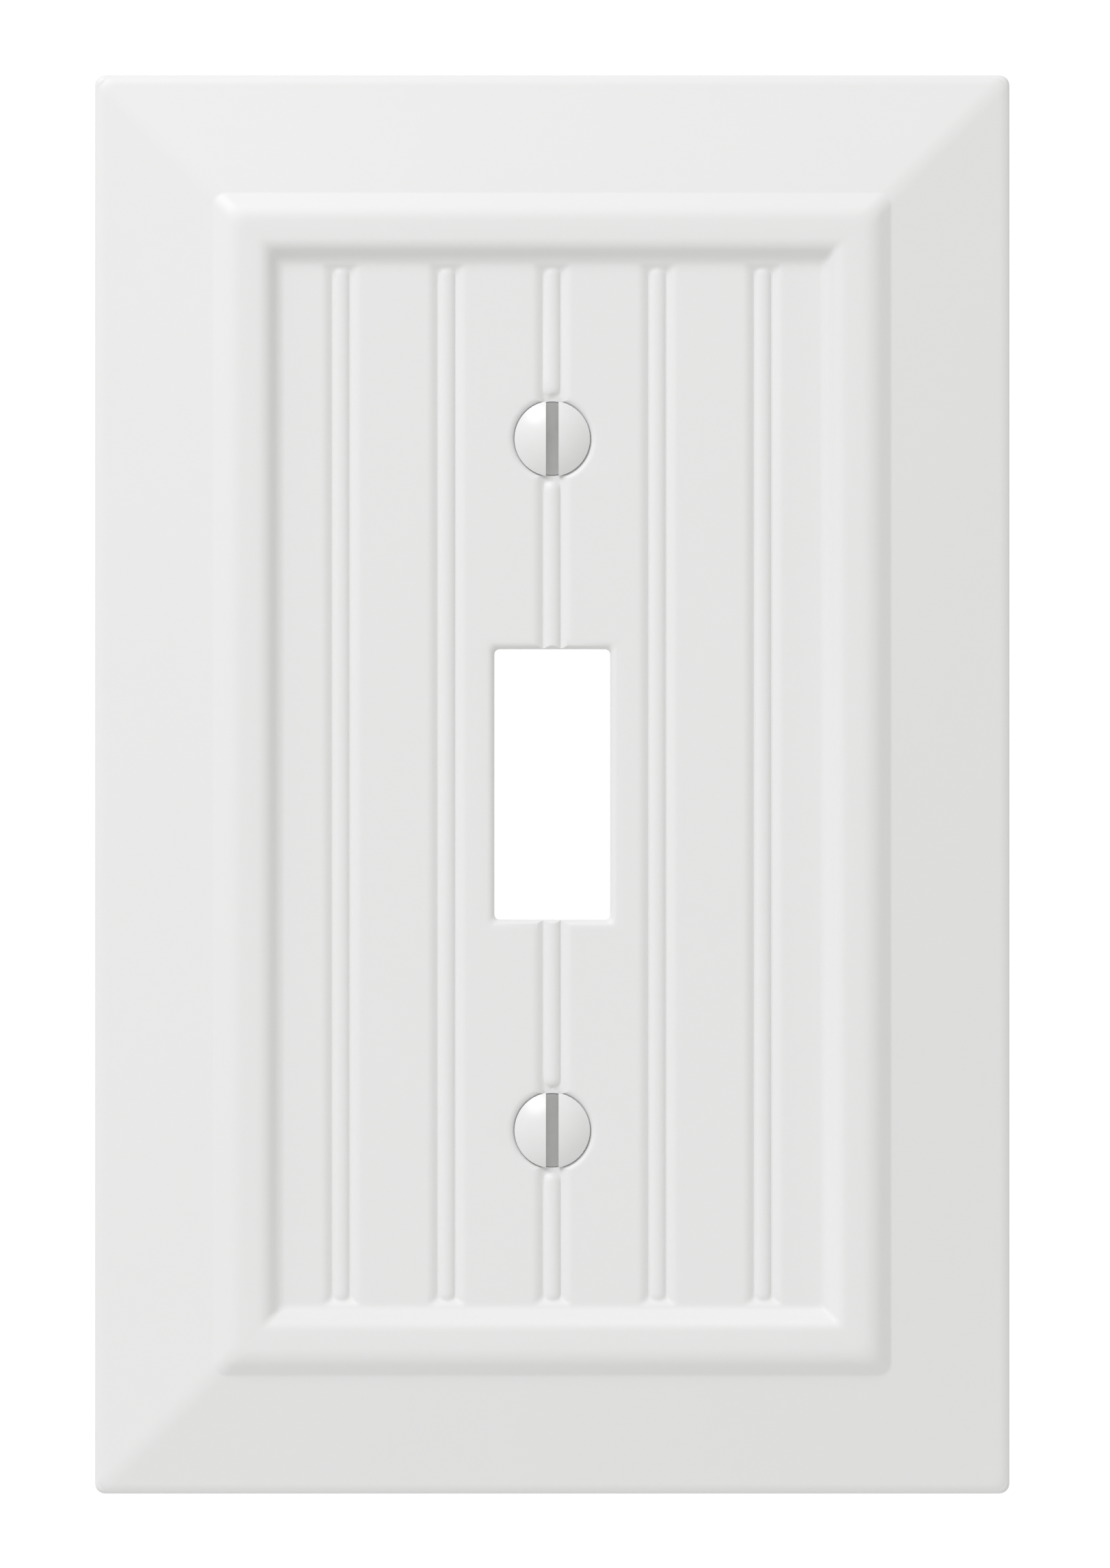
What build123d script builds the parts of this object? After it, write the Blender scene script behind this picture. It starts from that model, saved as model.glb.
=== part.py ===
from build123d import *
import math
import os

# Single toggle wall plate with a moulded border and a beaded panel, and its two screws.
# Millimetres. Every piece is drawn with the plate lying on its back: X across, Y up the
# plate and Z out of the wall, from the plate's back face. stand_up() then turns it
# upright, with its front facing -Y, its top +Z and the origin at the middle of its back.

# Plate outline and depth.
plate_width = 79.8
plate_height = 123.8
plate_depth = 9.5            # from the wall to the flat crown of the moulding
corner_radius = 0.8          # of the outline, seen from the front
edge_radius = 1.0            # where the outer wall turns into the sloping band

# Border, from the outer edge inwards. All four sides are the same.
band_width = 10.35           # sloping band, which falls outwards
band_drop = 2.1
band_fillet = 0.6            # in the hollow where the band meets the shoulder
shoulder_width = 2.35        # round shoulder up to the crown
shoulder_drop = 1.1
crown_width = 1.6
slope_width = 2.4            # inner slope, from the crown down to the panel
slope_drop = 1.4
slope_fillet = 0.7           # at its foot and at its top

# Beads and grooves of the panel.
bead_pitch = 9.2
bead_count = 5
bead_width = 1.5
bead_rise = 0.3              # crest of a bead over the bottom of its grooves
groove_depth = 0.4           # below the panel's face
groove_zone_width = 3.5      # bead, both grooves and both rounded plank edges
bead_hole_gap = 0.1          # from a bead's tip to the rim of a countersink

# Toggle opening and screw holes.
opening_width = 10.1
opening_height = 23.6
opening_radius = 0.6
hole_spacing = 60.325
bore_radius = 2.25
countersink_radius = 3.6     # at the panel's face
countersink_angle = 82.0

# Recess behind the plate for the switch strap.
recess_width = 51.0
recess_height = 109.0
recess_depth = 3.6
recess_radius = 6.0

# Oval-head screw, No. 6-32. The thread is drawn as a cylinder at its outer diameter.
screw_length = 25.4          # from the head's rim to the tip
thread_radius = 1.75
shank_radius = 1.5           # plain shank through the plate, as thin as the thread's pitch line
thread_gap = 0.4             # from the floor of the recess to the first thread
head_radius = 3.3
head_rise = 1.0              # crown of the head over its rim
head_land = 0.15             # straight edge round the rim
slot_width = 1.1
slot_depth = 1.3
tip_chamfer = 0.5
seat_clearance = 0.1         # between the head's cone and the countersink

# Worked out from the sizes above.
border_width = band_width + shoulder_width + crown_width + slope_width
panel_width = plate_width - 2 * border_width
panel_height = plate_height - 2 * border_width
panel_level = plate_depth - slope_drop
groove_level = panel_level - groove_depth
slope_run = slope_width / slope_drop
cone_run = math.tan(math.radians(countersink_angle / 2))
hole_y = hole_spacing / 2
above = plate_depth + 1.0    # a level clear of the whole front


def both_halves(outline):
    """Face of a closed outline drawn for positive x, and its mirror image."""
    half = make_face(outline)
    return half + mirror(half, Plane.YZ)


def corners_at(face, x, y):
    """The corners of a symmetric face at (x, y) and (-x, y)."""
    places = (Vector(x, y, 0), Vector(-x, y, 0))
    return [v for v in face.vertices() if min((Vector(v) - p).length for p in places) < 1e-4]


def border_profile(half_size):
    """Section of the plate across its full size, with the panel not yet sunk."""
    band_end = half_size - band_width
    shoulder_end = band_end - shoulder_width
    foot_level = plate_depth - shoulder_drop
    edge_level = foot_level - band_drop
    wall = Polyline((0, plate_depth), (0, 0), (half_size, 0), (half_size, edge_level), (band_end, foot_level))
    shoulder = TangentArc((shoulder_end, plate_depth), (band_end, foot_level), tangent=(1, 0))
    crown = Line((shoulder_end, plate_depth), (0, plate_depth))
    face = both_halves(wall + shoulder + crown)
    face = fillet(corners_at(face, half_size, edge_level), edge_radius)
    return fillet(corners_at(face, band_end, foot_level), band_fillet)


def sunk_profile(half_size, floor):
    """Section of the space over the panel, with the moulding's inner slope run down to floor."""
    foot = half_size + (floor - panel_level) * slope_run
    top = half_size + slope_width
    angle = math.atan2(slope_drop, slope_width)
    turn = slope_fillet * math.tan(angle / 2)
    start = (top - turn * (1 + math.cos(angle)), plate_depth - turn * math.sin(angle))
    outline = Polyline((0, above), (0, floor), (foot, floor), start)
    lip = TangentArc((top, plate_depth), start, tangent=(-1, 0))
    rim = Polyline((top, plate_depth), (top, above), (0, above))
    face = both_halves(outline + lip + rim)
    return fillet(corners_at(face, foot, floor), slope_fillet)


def crossed(across, along, reach):
    """The solid shared by a section run up the plate and a section run across it."""
    up = extrude(Plane.XZ * across, amount=reach, both=True)
    over = extrude(Plane.YZ * along, amount=reach, both=True)
    return up & over


def make_border():
    """Solid block of the plate with its band, shoulder and crown, mitred at the corners."""
    block = crossed(border_profile(plate_width / 2), border_profile(plate_height / 2), plate_height)
    outline = extrude(RectangleRounded(plate_width, plate_height, corner_radius), amount=above)
    return block & outline


def make_sunk_panel():
    """Space cut away over the panel."""
    return crossed(
        sunk_profile(panel_width / 2, panel_level), sunk_profile(panel_height / 2, panel_level), plate_height
    )


def make_bead(low, high):
    """A half-round bead with domed ends, from low to high along Y, rooted in the plate."""
    half_width = bead_width / 2
    crest = groove_level + bead_rise
    root = groove_level - groove_depth
    side = Polyline((0, crest), (0, root), (half_width, root), (half_width, groove_level))
    half = make_face(side + TangentArc((0, crest), (half_width, groove_level), tangent=(1, 0)))
    section = half + mirror(half, Plane.YZ)
    run = extrude(Plane.XZ * section, amount=(high - low) / 2 - half_width, both=True)
    end = revolve(Plane.XZ * half, Axis.Z)
    bead = Pos(0, (low + high) / 2) * run
    for y in (low + half_width, high - half_width):
        bead += Pos(0, y) * end
    return bead


def bead_stretches(column):
    """Lower and upper end of each bead in a column. The middle one stops at the holes."""
    end = panel_height / 2
    if column != bead_count // 2:
        return [(-end, end)]
    stop = countersink_radius + bead_hole_gap
    return [(-end, -hole_y - stop), (-hole_y + stop, hole_y - stop), (hole_y + stop, end)]


def make_groove(beads):
    """Space cut away along a column, as wide as both rounded plank edges, leaving these beads."""
    bottom = (bead_width / 2, groove_level)
    brink = (groove_zone_width / 2, panel_level)
    floor = Polyline((0, above), (0, groove_level), bottom)
    edge = TangentArc(brink, bottom, tangent=(-1, 0))
    sides = Polyline(brink, (groove_zone_width / 2, above), (0, above))
    section = both_halves(floor + edge + sides)
    space = crossed(section, sunk_profile(panel_height / 2, groove_level), plate_height)
    for low, high in beads:
        space -= make_bead(low, high)
    return space


def make_countersunk_hole():
    """Bore right through the plate, with its countersink at the panel's face."""
    depth = (countersink_radius - bore_radius) / cone_run
    height = depth + above - panel_level
    mouth = bore_radius + height * cone_run
    bottom_up = (Align.CENTER, Align.CENTER, Align.MIN)
    bore = Cylinder(bore_radius, above, align=bottom_up)
    return bore + Pos(0, 0, panel_level - depth) * Cone(bore_radius, mouth, height, align=bottom_up)


def make_plate():
    """The cover plate, on its back."""
    plate = make_border() - make_sunk_panel()
    for column in range(bead_count):
        place = Pos((column - (bead_count - 1) / 2) * bead_pitch, 0)
        plate -= place * make_groove(bead_stretches(column))
    plate -= extrude(RectangleRounded(opening_width, opening_height, opening_radius), amount=above)
    plate -= extrude(RectangleRounded(recess_width, recess_height, recess_radius), amount=recess_depth)
    for y in (-hole_y, hole_y):
        plate -= Pos(0, y) * make_countersunk_hole()
    return plate


def make_screw():
    """Slotted oval-head screw, seated in a countersink on the plate's Z axis."""
    sunk_by = (countersink_radius - head_radius) / cone_run - seat_clearance / math.sin(math.atan(cone_run))
    rim = panel_level - sunk_by
    neck = rim - (head_radius - shank_radius) / cone_run
    thread = recess_depth - thread_gap
    step = thread_radius - shank_radius
    tip = rim - screw_length
    top = rim + head_land
    crown = top + head_rise
    side = Polyline(
        (0, crown),
        (0, tip),
        (thread_radius - tip_chamfer, tip),
        (thread_radius, tip + tip_chamfer),
        (thread_radius, thread - step),
        (shank_radius, thread),
        (shank_radius, neck),
        (head_radius, rim),
        (head_radius, top),
    )
    half = make_face(side + TangentArc((0, crown), (head_radius, top), tangent=(1, 0)))
    slot = Pos(0, 0, crown) * Box(slot_width, 2 * head_radius + 1, 2 * slot_depth)
    return revolve(Plane.XZ * half, Axis.Z) - slot


def stand_up(piece):
    """Turn a piece that is drawn on its back upright, facing -Y."""
    return Rot(90, 0, 0) * piece


def main():
    os.makedirs("parts", exist_ok=True)
    screw = make_screw()
    pieces = {
        "cover_plate": make_plate(),
        "upper_screw": Pos(0, hole_y) * screw,
        "lower_screw": Pos(0, -hole_y) * screw,
    }
    for name, piece in pieces.items():
        export_step(stand_up(piece), f"parts/{name}.step")


main()
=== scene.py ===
import math

import bmesh
import bpy
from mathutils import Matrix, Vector


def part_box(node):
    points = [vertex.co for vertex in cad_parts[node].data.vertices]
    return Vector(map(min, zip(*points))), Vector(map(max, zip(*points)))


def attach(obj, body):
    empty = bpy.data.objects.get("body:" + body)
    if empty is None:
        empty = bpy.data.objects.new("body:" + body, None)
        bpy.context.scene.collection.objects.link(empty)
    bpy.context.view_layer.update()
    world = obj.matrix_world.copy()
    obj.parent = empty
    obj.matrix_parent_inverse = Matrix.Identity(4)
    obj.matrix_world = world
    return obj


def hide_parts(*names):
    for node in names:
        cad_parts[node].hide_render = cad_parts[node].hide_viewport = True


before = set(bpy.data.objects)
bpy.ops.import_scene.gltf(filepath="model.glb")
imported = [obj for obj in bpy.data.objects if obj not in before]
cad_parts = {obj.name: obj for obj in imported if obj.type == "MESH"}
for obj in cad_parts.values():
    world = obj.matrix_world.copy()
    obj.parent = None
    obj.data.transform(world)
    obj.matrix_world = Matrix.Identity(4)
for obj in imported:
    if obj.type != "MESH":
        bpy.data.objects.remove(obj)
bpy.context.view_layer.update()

MM = 0.001
NEAR = 0.001 * MM             # places closer than this count as the same

# Places that the parts in model.glb give. Levels are heights out of the wall, towards the viewer.
plate_low, plate_high = (Vector(corner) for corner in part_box("cover_plate"))
screw_low, screw_high = (Vector(corner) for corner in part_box("upper_screw"))
HALF_WIDTH = (plate_high.x - plate_low.x) / 2
HALF_HEIGHT = (plate_high.z - plate_low.z) / 2
CROWN_LEVEL = -plate_low.y
HOLE_Z = (screw_low.z + screw_high.z) / 2

# Border, from the outer edge inwards.
CORNER_RADIUS = 0.8 * MM
MITRE_RADIUS = 0.35 * MM      # of the mitres from the crown inwards
BACK_EDGE_RADIUS = 0.35 * MM
EDGE_RADIUS = 0.35 * MM
EASE_WIDTH = 0.55 * MM        # of the eased edge between the outer wall and the band
EASE_ANGLE = math.radians(32)
EASE_RADIUS = 2.0 * MM
BAND_WIDTH = 10.35 * MM
BAND_DROP = 2.1 * MM
BAND_FILLET = 0.7 * MM
SHOULDER_WIDTH = 2.35 * MM
SHOULDER_DROP = 1.1 * MM
SHOULDER_ANGLE = math.radians(36)
SHOULDER_RADIUS = 2.7 * MM
CROWN_WIDTH = 1.6 * MM
SLOPE_WIDTH = 2.4 * MM
SLOPE_DROP = 1.4 * MM
SLOPE_ANGLE = math.radians(51)
SLOPE_ROUND = 1.6 * MM        # at the top of the slope
SLOPE_FILLET = 1.2 * MM       # at its foot
FOOT_REACH = 0.5 * MM         # how far the hollow at its foot counts as panel
BORDER_WIDTH = BAND_WIDTH + SHOULDER_WIDTH + CROWN_WIDTH + SLOPE_WIDTH
FOOT_LEVEL = CROWN_LEVEL - SHOULDER_DROP
EDGE_LEVEL = FOOT_LEVEL - BAND_DROP
PANEL_LEVEL = CROWN_LEVEL - SLOPE_DROP
PANEL_Z = HALF_HEIGHT - BORDER_WIDTH

# Beads and grooves.
BEAD_PITCH = 9.2 * MM
BEAD_COUNT = 5
BEAD_HALF = 0.75 * MM
BEAD_RISE = 0.32 * MM
BEAD_FULLNESS = 2.5           # power of its section's curve: more is flatter on top
BEAD_STOP = 3.7 * MM          # from a screw hole's centre to the tip of the middle bead
GROOVE_DEPTH = 0.4 * MM
GROOVE_HALF = 1.75 * MM
PLANK_ROUND = 1.25 * MM       # radius of a plank's edge
PLANK_ANGLE = math.radians(31)
GROOVE_FLARE = 0.15 * MM       # how much wider a groove is on each side at its end
FLARE_LENGTH = 0.9 * MM
PAINT_FILL = 0.22 * MM        # how far paint softens the hollows at the grooves' ends
MOULD_STEP = 0.16 * MM        # small flaw on the left of the middle bead, over the upper hole
MOULD_STEP_Z = 35.4 * MM

# Holes.
BORE_RADIUS = 2.25 * MM
BORE_ROUND = 0.25 * MM        # where the bore meets the countersink
SINK_RADIUS = 3.6 * MM
SINK_RIM = 0.8 * MM           # radius of the countersink's rounded rim
SINK_ANGLE = math.radians(41)
OPENING_X = 5.05 * MM
OPENING_Z = 11.8 * MM
OPENING_CORNER = 0.45 * MM
OPENING_LIP = 0.65 * MM       # radius of its rounded front edge
RECESS_X = 25.5 * MM
RECESS_Z = 54.5 * MM
RECESS_DEPTH = 3.6 * MM
RECESS_CORNER = 6.0 * MM
RECESS_MOUTH = 0.3 * MM       # chamfer at its mouth
RECESS_FLOOR_ROUND = 0.5 * MM
PAST = 1.0 * MM               # how far a cutter runs past the plate
LIP_LIFT = Vector((0.06 * MM, 0.01 * MM))    # a cutter's last step, just over the panel's face
CLEAR = 4 * MM                # how far a cutter goes on from there, past the front

# Screws.
THREAD_RADIUS = 1.75 * MM
THREAD_ROOT = 1.3 * MM
THREAD_PITCH = 25.4 * MM / 32
THREAD_CREST = 0.125          # width of the crest and of a flank, as shares of the pitch
THREAD_FLANK = 0.3
THREAD_LEVEL = 3.2 * MM
SHANK_RADIUS = 1.5 * MM
HEAD_RADIUS = 3.3 * MM
HEAD_LAND = 0.15 * MM
HEAD_RISE = 1.0 * MM
HEAD_NECK_ROUND = 0.15 * MM
HEAD_RIM_ROUND = 0.04 * MM
CROWN_RINGS = 12
SCREW_SIDES = 48
SLOT_WIDTH = 1.1 * MM
SLOT_DEPTH = 1.3 * MM
TIP_CHAMFER = 0.5 * MM
TIP_LEVEL = -screw_high.y
RIM_LEVEL = TIP_LEVEL + 25.4 * MM

# Light. The tent glows evenly, and more from behind the plate. A round lamp adds to it.
TENT_GLOW = 0.6
TENT_COLOUR = (1, 1, 0.975, 1)
LAMP_COLOUR = (0.97, 0.97, 1.0)
TENT_BEHIND = 0.45
LAMP_PLACE = Vector((-0.45, -0.7, 0.76))
LAMP_SIZE = 0.7
LAMP_POWER = 7.3
FLOOR_LEVEL = -0.16
FLOOR_RADIUS = 0.3

# Camera: a long lens, straight in front of the plate.
CAMERA_DISTANCE = 3.0
CAMERA_X = 0.24 * MM
CAMERA_Z = 0.04 * MM
FRAME_HEIGHT = 136.7 * MM     # of the view, at the plate
SENSOR_HEIGHT = 24.0


# ---- Working in edit mode -------------------------------------------------------------

def work_on(piece):
    """Make piece the active object, and the only one selected."""
    bpy.ops.object.select_all(action="DESELECT")
    piece.select_set(True)
    bpy.context.view_layer.objects.active = piece


def edit(piece):
    work_on(piece)
    bpy.ops.object.mode_set(mode="EDIT")


def leave():
    bpy.ops.object.mode_set(mode="OBJECT")


def pick(piece, kind, wanted):
    """In edit mode, select the vertices, edges or faces that wanted() accepts."""
    bpy.ops.mesh.select_mode(type=kind)
    bpy.ops.mesh.select_all(action="DESELECT")
    mesh = bmesh.from_edit_mesh(piece.data)
    items = {"VERT": mesh.verts, "EDGE": mesh.edges, "FACE": mesh.faces}[kind]
    for item in items:
        if wanted(item):
            item.select_set(True)
    mesh.select_flush_mode()
    bmesh.update_edit_mesh(piece.data)


def add(name, primitive, **settings):
    """Add a primitive with its place and size in its mesh."""
    bpy.ops.object.select_all(action="DESELECT")
    primitive(**settings)
    bpy.ops.object.transform_apply(location=True, rotation=True, scale=True)
    piece = bpy.context.object
    piece.name = piece.data.name = name
    return piece


def add_block(name, half_x, half_z, low, high, z=0.0):
    """A block whose back is at level low and whose front is at level high."""
    return add(
        name, bpy.ops.mesh.primitive_cube_add, size=1, location=(0, -(low + high) / 2, z),
        scale=(2 * half_x, high - low, 2 * half_z),
    )


def add_rod(name, radius, low, high, z, sides=96):
    return add(
        name, bpy.ops.mesh.primitive_cylinder_add, vertices=sides, radius=radius, depth=high - low,
        location=(0, -(low + high) / 2, z), rotation=(math.pi / 2, 0, 0),
    )


def pick_cap(piece, level):
    """Select the flat end of a block or rod at this level."""
    pick(piece, "FACE", lambda face: all(abs(vertex.co.y + level) < NEAR for vertex in face.verts))


def runs_back(edge):
    """Whether an edge runs from front to back, and not round a piece."""
    return abs(edge.verts[0].co.y - edge.verts[1].co.y) > 0.1 * MM


def apply_modifier(piece, kind, **settings):
    work_on(piece)
    modifier = piece.modifiers.new(kind.title(), kind)
    for name, value in settings.items():
        setattr(modifier, name, value)
    bpy.ops.object.modifier_apply(modifier=modifier.name)


def combine(piece, other, operation):
    """Cut, join or trim piece with another one, which is then removed."""
    apply_modifier(piece, "BOOLEAN", operation=operation, object=other, solver="EXACT")
    bpy.data.objects.remove(other)


def rounded(corners, steps=6):
    """Points of a path through (x, y, radius) corners, each corner with a radius turned into an arc."""
    line = []
    for i, (x, y, radius) in enumerate(corners):
        here = Vector((x, y))
        if radius == 0:
            line.append(here)
            continue
        back = (Vector(corners[i - 1][:2]) - here).normalized()
        on = (Vector(corners[i + 1][:2]) - here).normalized()
        half = back.angle(on) / 2
        reach = radius / math.tan(half)
        centre = here + (back + on).normalized() * radius / math.sin(half)
        first = (here + back * reach - centre).normalized()
        last = (here + on * reach - centre).normalized()
        line += [centre + first.slerp(last, k / steps) * radius for k in range(steps + 1)]
    return line


def draw_out(line, half_x, half_z, z):
    """Extrude the selected cap through (offset, level) points, widening it by the offset each time."""
    for here, there in zip(line, line[1:]):
        bpy.ops.mesh.extrude_region_move(TRANSFORM_OT_translate={"value": (0, here.y - there.y, 0)})
        bpy.ops.transform.resize(
            value=((half_x + there.x) / (half_x + here.x), 1, (half_z + there.x) / (half_z + here.x)),
            center_override=(0, -there.y, z),
        )


# ---- The plate ------------------------------------------------------------------------

def border_line():
    """Section of the border as (distance in from the edge, level) points, down to the panel."""
    band_slant = BAND_DROP / BAND_WIDTH
    ease_level = EDGE_LEVEL + EASE_WIDTH * band_slant
    crown_start = BAND_WIDTH + SHOULDER_DROP / math.tan(SHOULDER_ANGLE)
    slope_middle = BORDER_WIDTH - SLOPE_WIDTH / 2
    slope_half = SLOPE_DROP / math.tan(SLOPE_ANGLE) / 2
    line = rounded([
        (0, EDGE_LEVEL - 3 * MM, 0),
        (0, ease_level - EASE_WIDTH * math.tan(EASE_ANGLE), EDGE_RADIUS),
        (EASE_WIDTH, ease_level, EASE_RADIUS),
        (BAND_WIDTH, FOOT_LEVEL, BAND_FILLET),
        (crown_start, CROWN_LEVEL, SHOULDER_RADIUS),
        (slope_middle - slope_half, CROWN_LEVEL, SLOPE_ROUND),
        (slope_middle + slope_half, PANEL_LEVEL, SLOPE_FILLET),
        (BORDER_WIDTH + 2 * MM, PANEL_LEVEL, 0),
    ])
    return line[1:-1]


def make_blank():
    """The plate with its moulded border round a flat panel."""
    line = border_line()
    plate = add_block("plate", HALF_WIDTH, HALF_HEIGHT, 0, line[0].y)
    edit(plate)
    pick_cap(plate, line[0].y)
    for here, there in zip(line, line[1:]):
        bpy.ops.mesh.inset(thickness=there.x - here.x, depth=there.y - here.y)
    soften_mitres(plate)
    pick_cap(plate, 0)
    bpy.ops.mesh.bevel(offset=BACK_EDGE_RADIUS, segments=3, affect="EDGES")
    leave()
    return plate


def in_from_edge(vertex):
    """Distances of a point from the nearest side and from the nearer of top and bottom."""
    return HALF_WIDTH - abs(vertex.co.x), HALF_HEIGHT - abs(vertex.co.z)


def soften_mitres(plate):
    """Round the outline's corners and the mitres that run in from them, less so from the crown on."""
    def on_mitre(edge, low, high):
        """Whether both ends lie on a mitre. So do those of the long sides, which don't count."""
        ends = [in_from_edge(vertex) for vertex in edge.verts]
        middle = (ends[0][0] + ends[1][0]) / 2
        diagonal = all(abs(x - z) < NEAR for x, z in ends) and edge.calc_length() < HALF_WIDTH / 2
        return diagonal and low < middle < high

    crown = BORDER_WIDTH - SLOPE_WIDTH - CROWN_WIDTH
    for low, high, radius, segments in (
        (-PAST, crown, CORNER_RADIUS, 5),
        (crown, BORDER_WIDTH + PAST, MITRE_RADIUS, 3),
    ):
        pick(plate, "EDGE", lambda edge: on_mitre(edge, low, high))
        bpy.ops.mesh.bevel(offset=radius, segments=segments, affect="EDGES")


def on_panel(vertex):
    """Whether a point is on the panel or in the hollow at its foot."""
    x, z = in_from_edge(vertex)
    return min(x, z) > BORDER_WIDTH - FOOT_REACH and vertex.co.y < -RECESS_DEPTH


def groove_lines():
    """Where the panel is cut into strips: close together over each bead and its plank edges."""
    on_bead = [0, 0.2, 0.38, 0.52, 0.62, 0.69, 0.75]
    on_plank = [0.82, 0.95, 1.11, 1.25, 1.4, 1.55, 1.66, 1.77, 2.0, 2.4]
    offsets = sorted({side * offset * MM for side in (-1, 1) for offset in on_bead + on_plank})
    middles = [(column - (BEAD_COUNT - 1) / 2) * BEAD_PITCH for column in range(BEAD_COUNT)]
    return [middle + offset for middle in middles for offset in offsets]


def row_lines():
    """Where the strips are cut across: at the ends of the grooves and of the middle bead."""
    ends = [PANEL_Z - t * MM for t in (0.1, 0.25, 0.4, 0.55, 0.7, 0.9, 1.15, 1.5, 1.9, 2.4)]
    tips = [BEAD_STOP + t * MM for t in (-0.3, 0, 0.06, 0.15, 0.3, 0.5, 0.75, 1.2)]
    ends += [HOLE_Z + side * tip for side in (-1, 1) for tip in tips]
    ends += [MOULD_STEP_Z - 0.1 * MM, MOULD_STEP_Z + 0.2 * MM, HOLE_Z, OPENING_Z + PAST, OPENING_Z / 2]
    return sorted([-z for z in ends] + ends + [0])


def strip_panel(plate):
    """Cut the panel into narrow strips and rows, ready to be carved."""
    edit(plate)
    cuts = [((x, 0, 0), (1, 0, 0)) for x in groove_lines()]
    cuts += [((0, 0, z), (0, 0, 1)) for z in row_lines()]
    for place, normal in cuts:
        pick(plate, "FACE", lambda face: all(on_panel(vertex) for vertex in face.verts))
        bpy.ops.mesh.bisect(plane_co=place, plane_no=normal)
    leave()


def soft_least(a, b, reach):
    """The lesser of two values, blended where they are closer than reach."""
    overlap = max(reach - abs(a - b), 0) / reach
    return min(a, b) - overlap ** 2 * reach / 4


def arc_drop(run, whole_run, whole_drop):
    """Fall of an arc that starts level and falls by whole_drop over whole_run."""
    radius = (whole_run ** 2 + whole_drop ** 2) / (2 * whole_drop)
    return radius - math.sqrt(radius ** 2 - run ** 2)


def past_tip(z, middle_bead):
    """How far a place is past the centre of a bead's domed end, or 0 along the bead."""
    past = abs(z) - (PANEL_Z - BEAD_HALF)
    if middle_bead:
        past = max(past, BEAD_STOP + BEAD_HALF - abs(abs(z) - HOLE_Z))
    return max(past, 0)


def bead_cut(x, z, middle_bead):
    """How deep the surface lies under the panel's face, between the bottoms of two grooves."""
    half = BEAD_HALF
    if middle_bead and x < 0 and HOLE_Z < z < MOULD_STEP_Z:
        half += MOULD_STEP
    out = min(math.hypot(x, past_tip(z, middle_bead)) / half, 1)
    return GROOVE_DEPTH - BEAD_RISE * (1 - out ** BEAD_FULLNESS)


def plank_cut(x, z):
    """How deep the rounded edge of a plank lies under its face."""
    flare = max(abs(z) - (PANEL_Z - FLARE_LENGTH), 0) / FLARE_LENGTH
    run = max(GROOVE_HALF + GROOVE_FLARE * flare ** 2 - abs(x), 0)
    rounded_run = min(run, PLANK_ROUND * math.sin(PLANK_ANGLE))
    drop = PLANK_ROUND - math.sqrt(PLANK_ROUND ** 2 - rounded_run ** 2)
    return min(drop + (run - rounded_run) * math.tan(PLANK_ANGLE), GROOVE_DEPTH)


def panel_cut(x, z):
    """How much is carved away at a place on the panel."""
    column = round(x / BEAD_PITCH)
    x -= column * BEAD_PITCH
    cut = min(bead_cut(x, z, column == 0), plank_cut(x, z))
    room = (PANEL_Z + PAINT_FILL - abs(z)) * SLOPE_DROP / SLOPE_WIDTH
    return max(soft_least(cut, room, PAINT_FILL), 0) if cut > 0 else 0


def carve_panel(plate):
    for vertex in plate.data.vertices:
        if on_panel(vertex):
            vertex.co.y += panel_cut(vertex.co.x, vertex.co.z)


def cut_screw_hole(plate, z):
    """Bore and countersink, with a rim that rounds over into the panel."""
    deep = (SINK_RADIUS - BORE_RADIUS) / math.tan(SINK_ANGLE)
    line = rounded([
        (0, -PAST, 0),
        (0, PANEL_LEVEL - deep, BORE_ROUND),
        (SINK_RADIUS - BORE_RADIUS, PANEL_LEVEL, SINK_RIM),
        (SINK_RADIUS, PANEL_LEVEL, 0),
    ], steps=8)[1:-1]
    line += [line[-1] + LIP_LIFT, line[-1] + LIP_LIFT + Vector((0, CLEAR))]
    cutter = add_rod("hole_cutter", BORE_RADIUS, -PAST, line[0].y, z)
    edit(cutter)
    pick_cap(cutter, line[0].y)
    draw_out(line, BORE_RADIUS, BORE_RADIUS, z)
    leave()
    combine(plate, cutter, "DIFFERENCE")


def cut_rounded_hole(plate, half_x, half_z, corner, line):
    """Hole with rounded corners, drawn out from the back through (offset, level) points."""
    cutter = add_block("cutter", half_x + line[0].x, half_z + line[0].x, -PAST, line[0].y)
    edit(cutter)
    pick(cutter, "EDGE", runs_back)
    bpy.ops.mesh.bevel(offset=corner, segments=8, affect="EDGES")
    pick_cap(cutter, line[0].y)
    draw_out(line, half_x, half_z, 0)
    leave()
    combine(plate, cutter, "DIFFERENCE")


def cut_opening(plate):
    """Toggle opening, with its front lip rounded over."""
    line = rounded([
        (0, -PAST, 0), (0, PANEL_LEVEL, OPENING_LIP), (2 * MM, PANEL_LEVEL, 0),
    ], steps=7)[1:-1]
    line += [line[-1] + LIP_LIFT, line[-1] + LIP_LIFT + Vector((0, CLEAR))]
    cut_rounded_hole(plate, OPENING_X, OPENING_Z, OPENING_CORNER, line)


def cut_recess(plate):
    """Recess behind the plate for the switch strap, with a slightly rounded mouth and floor."""
    line = rounded([
        (RECESS_MOUTH, -RECESS_MOUTH, 0), (RECESS_MOUTH, 0, 0), (0, RECESS_MOUTH, 0),
        (0, RECESS_DEPTH, RECESS_FLOOR_ROUND), (-5 * MM, RECESS_DEPTH, 0),
    ], steps=5)[:-1]
    cut_rounded_hole(plate, RECESS_X, RECESS_Z, RECESS_CORNER, line)


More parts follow.
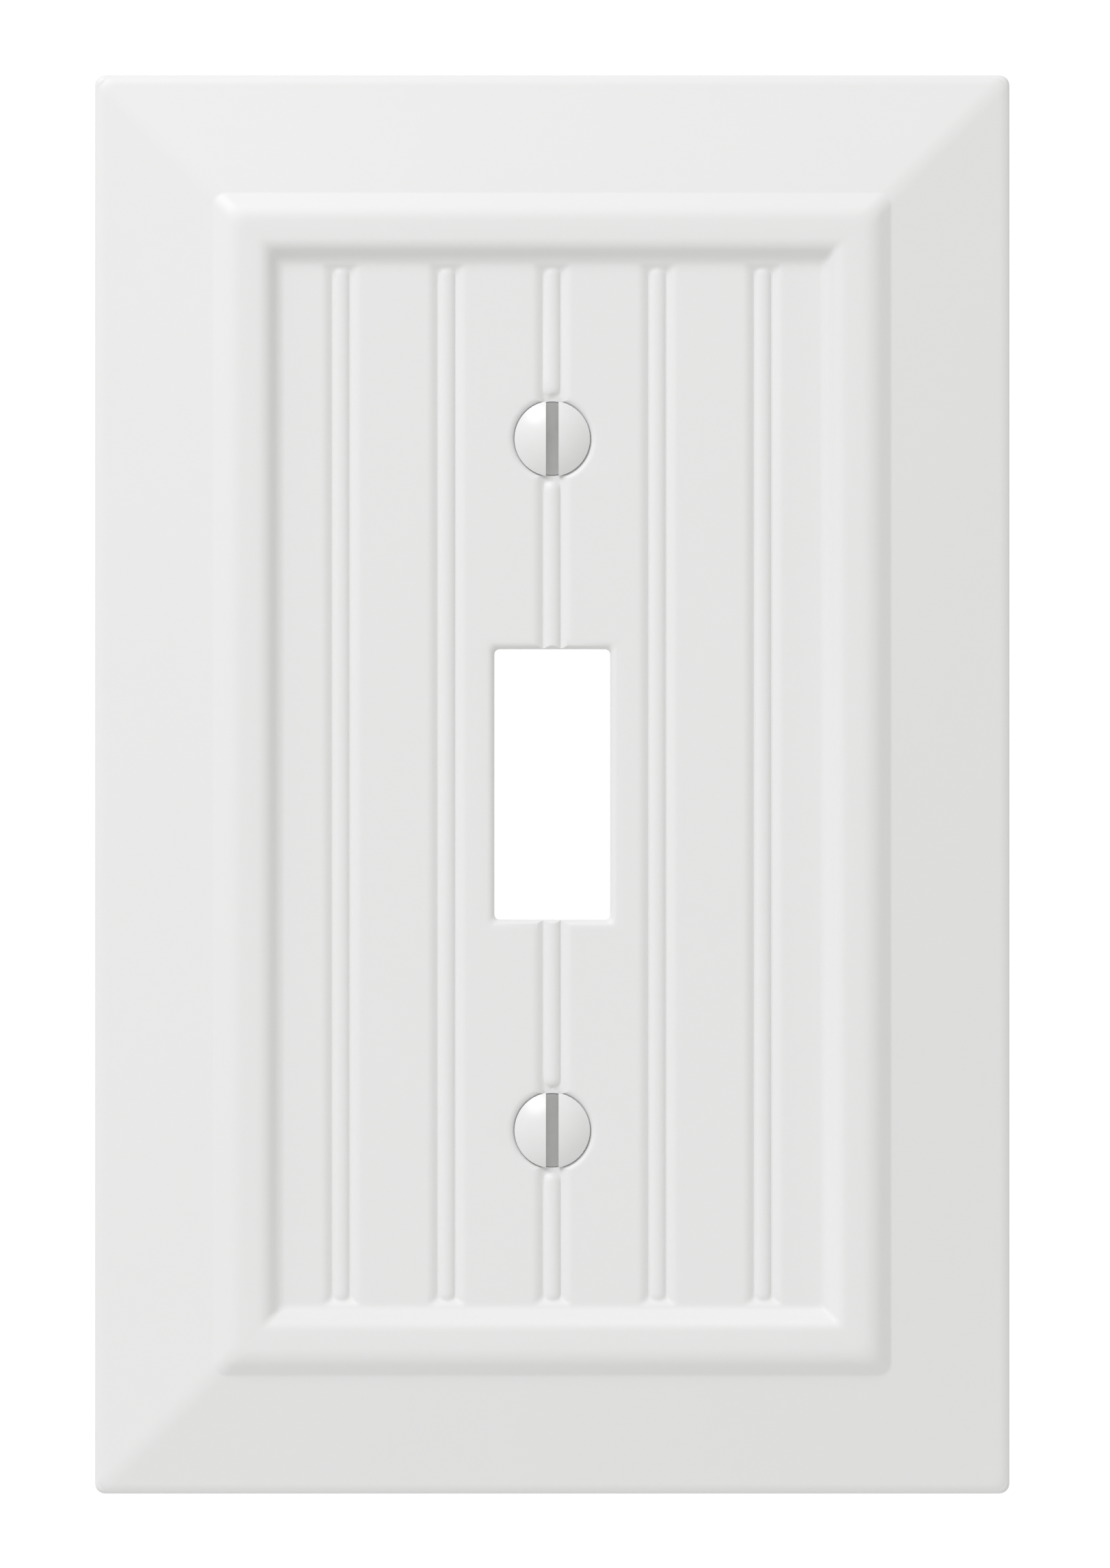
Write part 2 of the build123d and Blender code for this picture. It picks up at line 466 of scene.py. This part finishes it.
def make_plate():
    plate = make_blank()
    strip_panel(plate)
    carve_panel(plate)
    cut_opening(plate)
    for z in (-HOLE_Z, HOLE_Z):
        cut_screw_hole(plate, z)
    cut_recess(plate)
    work_on(plate)
    bpy.ops.object.shade_smooth_by_angle(angle=math.radians(32))
    return plate


# ---- The screws -----------------------------------------------------------------------

def thread_radius(angle, level):
    """Radius of the thread at an angle round the shank, counted clockwise as seen from the head."""
    turn = (level / THREAD_PITCH + angle / (2 * math.pi)) % 1
    off_crest = max(abs(turn - 0.5) - THREAD_CREST / 2, 0)
    ridge = max(1 - off_crest / THREAD_FLANK, 0)
    radius = THREAD_ROOT + (THREAD_RADIUS - THREAD_ROOT) * ridge
    tip = THREAD_RADIUS - TIP_CHAMFER + level - TIP_LEVEL
    return min(radius, tip, SHANK_RADIUS + THREAD_LEVEL - level)


def cut_thread(screw, z):
    """Divide the shank behind the plate into fine rings, and shape them to a helical thread."""
    def on_thread(edge):
        return runs_back(edge) and min(vertex.co.y for vertex in edge.verts) > -THREAD_LEVEL - NEAR

    edit(screw)
    for cuts in (3, 100):
        pick(screw, "EDGE", on_thread)
        bpy.ops.mesh.subdivide(number_cuts=cuts)
    leave()
    for vertex in screw.data.vertices:
        x, y, up = vertex.co.x, vertex.co.y, vertex.co.z - z
        if y > -THREAD_LEVEL + NEAR:
            grown = thread_radius(math.atan2(x, up), -y) / math.hypot(x, up)
            vertex.co.x, vertex.co.z = x * grown, z + up * grown


def make_screw(z):
    """Slotted oval-head screw, with a plain shank under the head and a thread behind the plate."""
    neck = RIM_LEVEL - (HEAD_RADIUS - SHANK_RADIUS) / math.tan(SINK_ANGLE)
    crown = RIM_LEVEL + HEAD_LAND + HEAD_RISE
    out = HEAD_RADIUS - SHANK_RADIUS
    head = rounded([
        (0, neck - MM, 0), (0, neck, HEAD_NECK_ROUND),
        (out, RIM_LEVEL, HEAD_RIM_ROUND), (out, RIM_LEVEL + MM, 0),
    ], steps=3)[1:-1]
    for ring in range(CROWN_RINGS):
        out = HEAD_RADIUS * math.cos(ring / CROWN_RINGS * math.pi / 2)
        head.append(Vector((out - SHANK_RADIUS, crown - arc_drop(out, HEAD_RADIUS, HEAD_RISE))))
    screw = add_rod("screw", SHANK_RADIUS, THREAD_LEVEL, head[0].y, z, sides=SCREW_SIDES)
    edit(screw)
    pick_cap(screw, THREAD_LEVEL)
    to_tip = (0, THREAD_LEVEL - TIP_LEVEL, 0)
    bpy.ops.mesh.extrude_region_move(TRANSFORM_OT_translate={"value": to_tip})
    pick_cap(screw, head[0].y)
    draw_out(head, SHANK_RADIUS, SHANK_RADIUS, z)
    leave()
    across = HEAD_RADIUS + PAST
    slot = add_block("slot_cutter", SLOT_WIDTH / 2, across, crown - SLOT_DEPTH, crown + PAST, z)
    combine(screw, slot, "DIFFERENCE")
    cut_thread(screw, z)
    work_on(screw)
    bpy.ops.object.shade_smooth_by_angle(angle=math.radians(32))
    return screw


# ---- Finishes -------------------------------------------------------------------------

class Value:
    """A number that nodes work out. Arithmetic on it adds Math nodes."""

    def __init__(self, nodes, output):
        self.nodes, self.output = nodes, output

    def maths(self, operation, *values):
        return self.nodes.node("ShaderNodeMath", {"operation": operation}, dict(enumerate(values)))

    def at_least(self, other):
        return self.maths("MAXIMUM", self, other)

    def __add__(self, other):
        return self.maths("ADD", self, other)

    def __mul__(self, other):
        return self.maths("MULTIPLY", self, other)

    __radd__, __rmul__ = __add__, __mul__


class Nodes:
    """The nodes of a material or of the light tent."""

    def __init__(self, tree):
        self.tree = tree

    def fill(self, socket, value):
        if isinstance(value, Value):
            self.tree.links.new(value.output, socket)
        else:
            socket.default_value = value

    def node(self, kind, settings, inputs, output=0):
        """Add a node: its settings first, then its sockets. Stops are a ramp's (place, grey) pairs."""
        node = self.tree.nodes.new(kind)
        for name, value in settings.items():
            if name == "stops":
                for stop, (place, tone) in zip(node.color_ramp.elements, value):
                    stop.position, stop.color = place, (tone, tone, tone, 1)
            else:
                setattr(node, name, value)
        for key, value in inputs.items():
            self.fill(node.inputs[key], value)
        return Value(self, node.outputs[output])

    def mix(self, factor, a, b):
        """Blend of two colours."""
        return self.node("ShaderNodeMix", {"data_type": "RGBA"}, {"Factor": factor, 6: a, 7: b}, 2)


class Finish(Nodes):
    """A material, built up from its nodes."""

    def __init__(self, name, **constants):
        self.material = bpy.data.materials.new(name)
        self.material.use_nodes = True
        super().__init__(self.material.node_tree)
        self.shader = self.tree.nodes["Principled BSDF"]
        self.set(**constants)

    def set(self, **inputs):
        """Set or link the shader's sockets, named with underscores for spaces."""
        for name, value in inputs.items():
            self.fill(self.shader.inputs[name.replace("_", " ")], value)

    def place(self):
        return self.node("ShaderNodeTexCoord", {}, {}, "Object")

    def noise(self, scale, detail=2.0, roughness=0.5):
        inputs = {"Vector": self.place(), "Scale": scale, "Detail": detail, "Roughness": roughness}
        return self.node("ShaderNodeTexNoise", {}, inputs)

    def ramp(self, value, *stops):
        return self.node("ShaderNodeValToRGB", {"stops": stops}, {"Fac": value})

    def bump(self, height, distance):
        return self.node("ShaderNodeBump", {}, {"Height": height, "Distance": distance, "Strength": 1.0})


def grey(value, warmth=0.0):
    """A grey of this value, a little redder and less blue where it is warm."""
    return (value * (1 + warmth), value, value * (1 - warmth), 1)


def white_paint():
    """Sprayed semi-gloss white: faint orange peel and slow changes of tone and gloss."""
    paint = Finish("white_semi_gloss_paint", Specular_IOR_Level=0.4)
    clouds = paint.noise(60, detail=3)
    peel = paint.noise(520, detail=1) + 0.35 * paint.noise(2600, detail=1)
    paint.set(
        Base_Color=paint.mix(clouds, grey(0.795, 0.002), grey(0.805, 0.001)),
        Roughness=0.4 + 0.08 * paint.noise(240, detail=2),
        Normal=paint.bump(peel, 0.004 * MM),
    )
    return paint.material


def primed_back():
    """Thin dull primer over the fibrous board behind the plate."""
    primer = Finish("thin_primer", Specular_IOR_Level=0.3)
    fibre = primer.noise(1500, detail=6, roughness=0.75)
    drift = primer.noise(45, detail=3)
    thin = primer.ramp(fibre, (0.38, 0.32), (0.56, 0.0))
    covered = primer.mix(drift, grey(0.73, 0.012), grey(0.76, 0.008))
    primer.set(
        Base_Color=primer.mix(thin, covered, grey(0.62, 0.045)),
        Roughness=0.6 + 0.2 * fibre,
        Normal=primer.bump(fibre, 0.02 * MM),
    )
    return primer.material


def head_paint():
    """Baked white paint of the screw heads, a little glossier than the plate."""
    paint = Finish("white_baked_paint", Specular_IOR_Level=0.5)
    clouds = paint.noise(400, detail=2)
    paint.set(
        Base_Color=paint.mix(clouds, grey(0.78, 0.003), grey(0.81, 0.001)),
        Roughness=0.26 + 0.1 * clouds,
        Normal=paint.bump(paint.noise(1500, detail=1), 0.006 * MM),
    )
    return paint.material


def zinc_plate():
    """Bright zinc plating of the screw shanks."""
    zinc = Finish("zinc_plating", Metallic=1.0)
    haze = zinc.noise(500, detail=4)
    zinc.set(
        Base_Color=zinc.mix(haze, grey(0.52, -0.015), grey(0.66, 0.01)),
        Roughness=0.2 + 0.2 * haze,
        Normal=zinc.bump(zinc.noise(4000, detail=2), 0.003 * MM),
    )
    return zinc.material


def coat(piece, main, other, is_other):
    """Give a piece its main finish, and the other one where is_other() says so."""
    piece.data.materials.clear()
    piece.data.materials.append(main)
    piece.data.materials.append(other)
    for polygon in piece.data.polygons:
        polygon.material_index = int(is_other(polygon.center, polygon.normal))


# ---- Studio ---------------------------------------------------------------------------

def light_studio():
    """White light tent with a plain white backdrop, and a soft lamp at the upper left."""
    world = bpy.data.worlds.new("light_tent")
    bpy.context.scene.world = world
    world.use_nodes = True
    tent = Nodes(world.node_tree)
    towards = tent.node("ShaderNodeTexCoord", {}, {}, "Generated")
    behind = tent.node("ShaderNodeSeparateXYZ", {}, {0: towards}, "Y")
    bright = (TENT_GLOW + TENT_BEHIND * behind).at_least(TENT_GLOW)
    backdrop = tent.node("ShaderNodeLightPath", {}, {}, "Is Camera Ray")
    background = tent.tree.nodes["Background"]
    tent.fill(background.inputs["Color"], tent.mix(backdrop, TENT_COLOUR, grey(1)))
    tent.fill(background.inputs["Strength"], bright.at_least(backdrop))
    lamp = bpy.data.lights.new("lamp", "AREA")
    lamp.shape = "DISK"
    lamp.size = LAMP_SIZE
    lamp.energy = LAMP_POWER
    lamp.color = LAMP_COLOUR
    holder = bpy.data.objects.new("lamp", lamp)
    holder.location = LAMP_PLACE
    holder.rotation_euler = (-LAMP_PLACE).to_track_quat("-Z", "Y").to_euler()
    bpy.context.scene.collection.objects.link(holder)


def add_floor():
    """Pale round floor, under the plate and out of the front view."""
    bpy.ops.object.select_all(action="DESELECT")
    bpy.ops.mesh.primitive_circle_add(
        vertices=96, radius=FLOOR_RADIUS, fill_type="NGON", location=(0, 0, FLOOR_LEVEL),
    )
    floor = bpy.context.object
    floor.name = "studio_floor"
    pale = Finish("pale_floor", Roughness=0.8)
    pale.set(Base_Color=pale.mix(pale.noise(12), grey(0.78), grey(0.82)))
    floor.data.materials.append(pale.material)


def add_camera():
    """Square-on view of the front through a long lens."""
    lens = bpy.data.cameras.new("camera")
    lens.sensor_fit = "VERTICAL"
    lens.sensor_height = SENSOR_HEIGHT
    lens.lens = SENSOR_HEIGHT * CAMERA_DISTANCE / FRAME_HEIGHT
    camera = bpy.data.objects.new("camera", lens)
    camera.location = (CAMERA_X, -CROWN_LEVEL - CAMERA_DISTANCE, CAMERA_Z)
    camera.rotation_euler = (math.pi / 2, 0, 0)
    bpy.context.scene.collection.objects.link(camera)
    bpy.context.scene.camera = camera
    bpy.context.scene.view_settings.view_transform = "Standard"


# ---- Putting it together --------------------------------------------------------------

def place_plate():
    plate = make_plate()
    coat(plate, white_paint(), primed_back(), lambda centre, normal: normal.y > 0.5)
    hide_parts("cover_plate")
    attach(plate, "cover")


def place_screws():
    upper = make_screw(HOLE_Z)
    coat(upper, head_paint(), zinc_plate(), lambda centre, normal: -centre.y < RIM_LEVEL - 0.1 * MM)
    work_on(upper)
    bpy.ops.object.duplicate()
    lower = bpy.context.object
    bpy.ops.transform.translate(value=(0, 0, -2 * HOLE_Z))
    bpy.ops.object.transform_apply(location=True, rotation=True, scale=True)
    for screw, name in ((upper, "upper_screw"), (lower, "lower_screw")):
        screw.name = screw.data.name = f"{name}_finished"
        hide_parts(name)
        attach(screw, name)


place_plate()
place_screws()
light_studio()
add_floor()
add_camera()
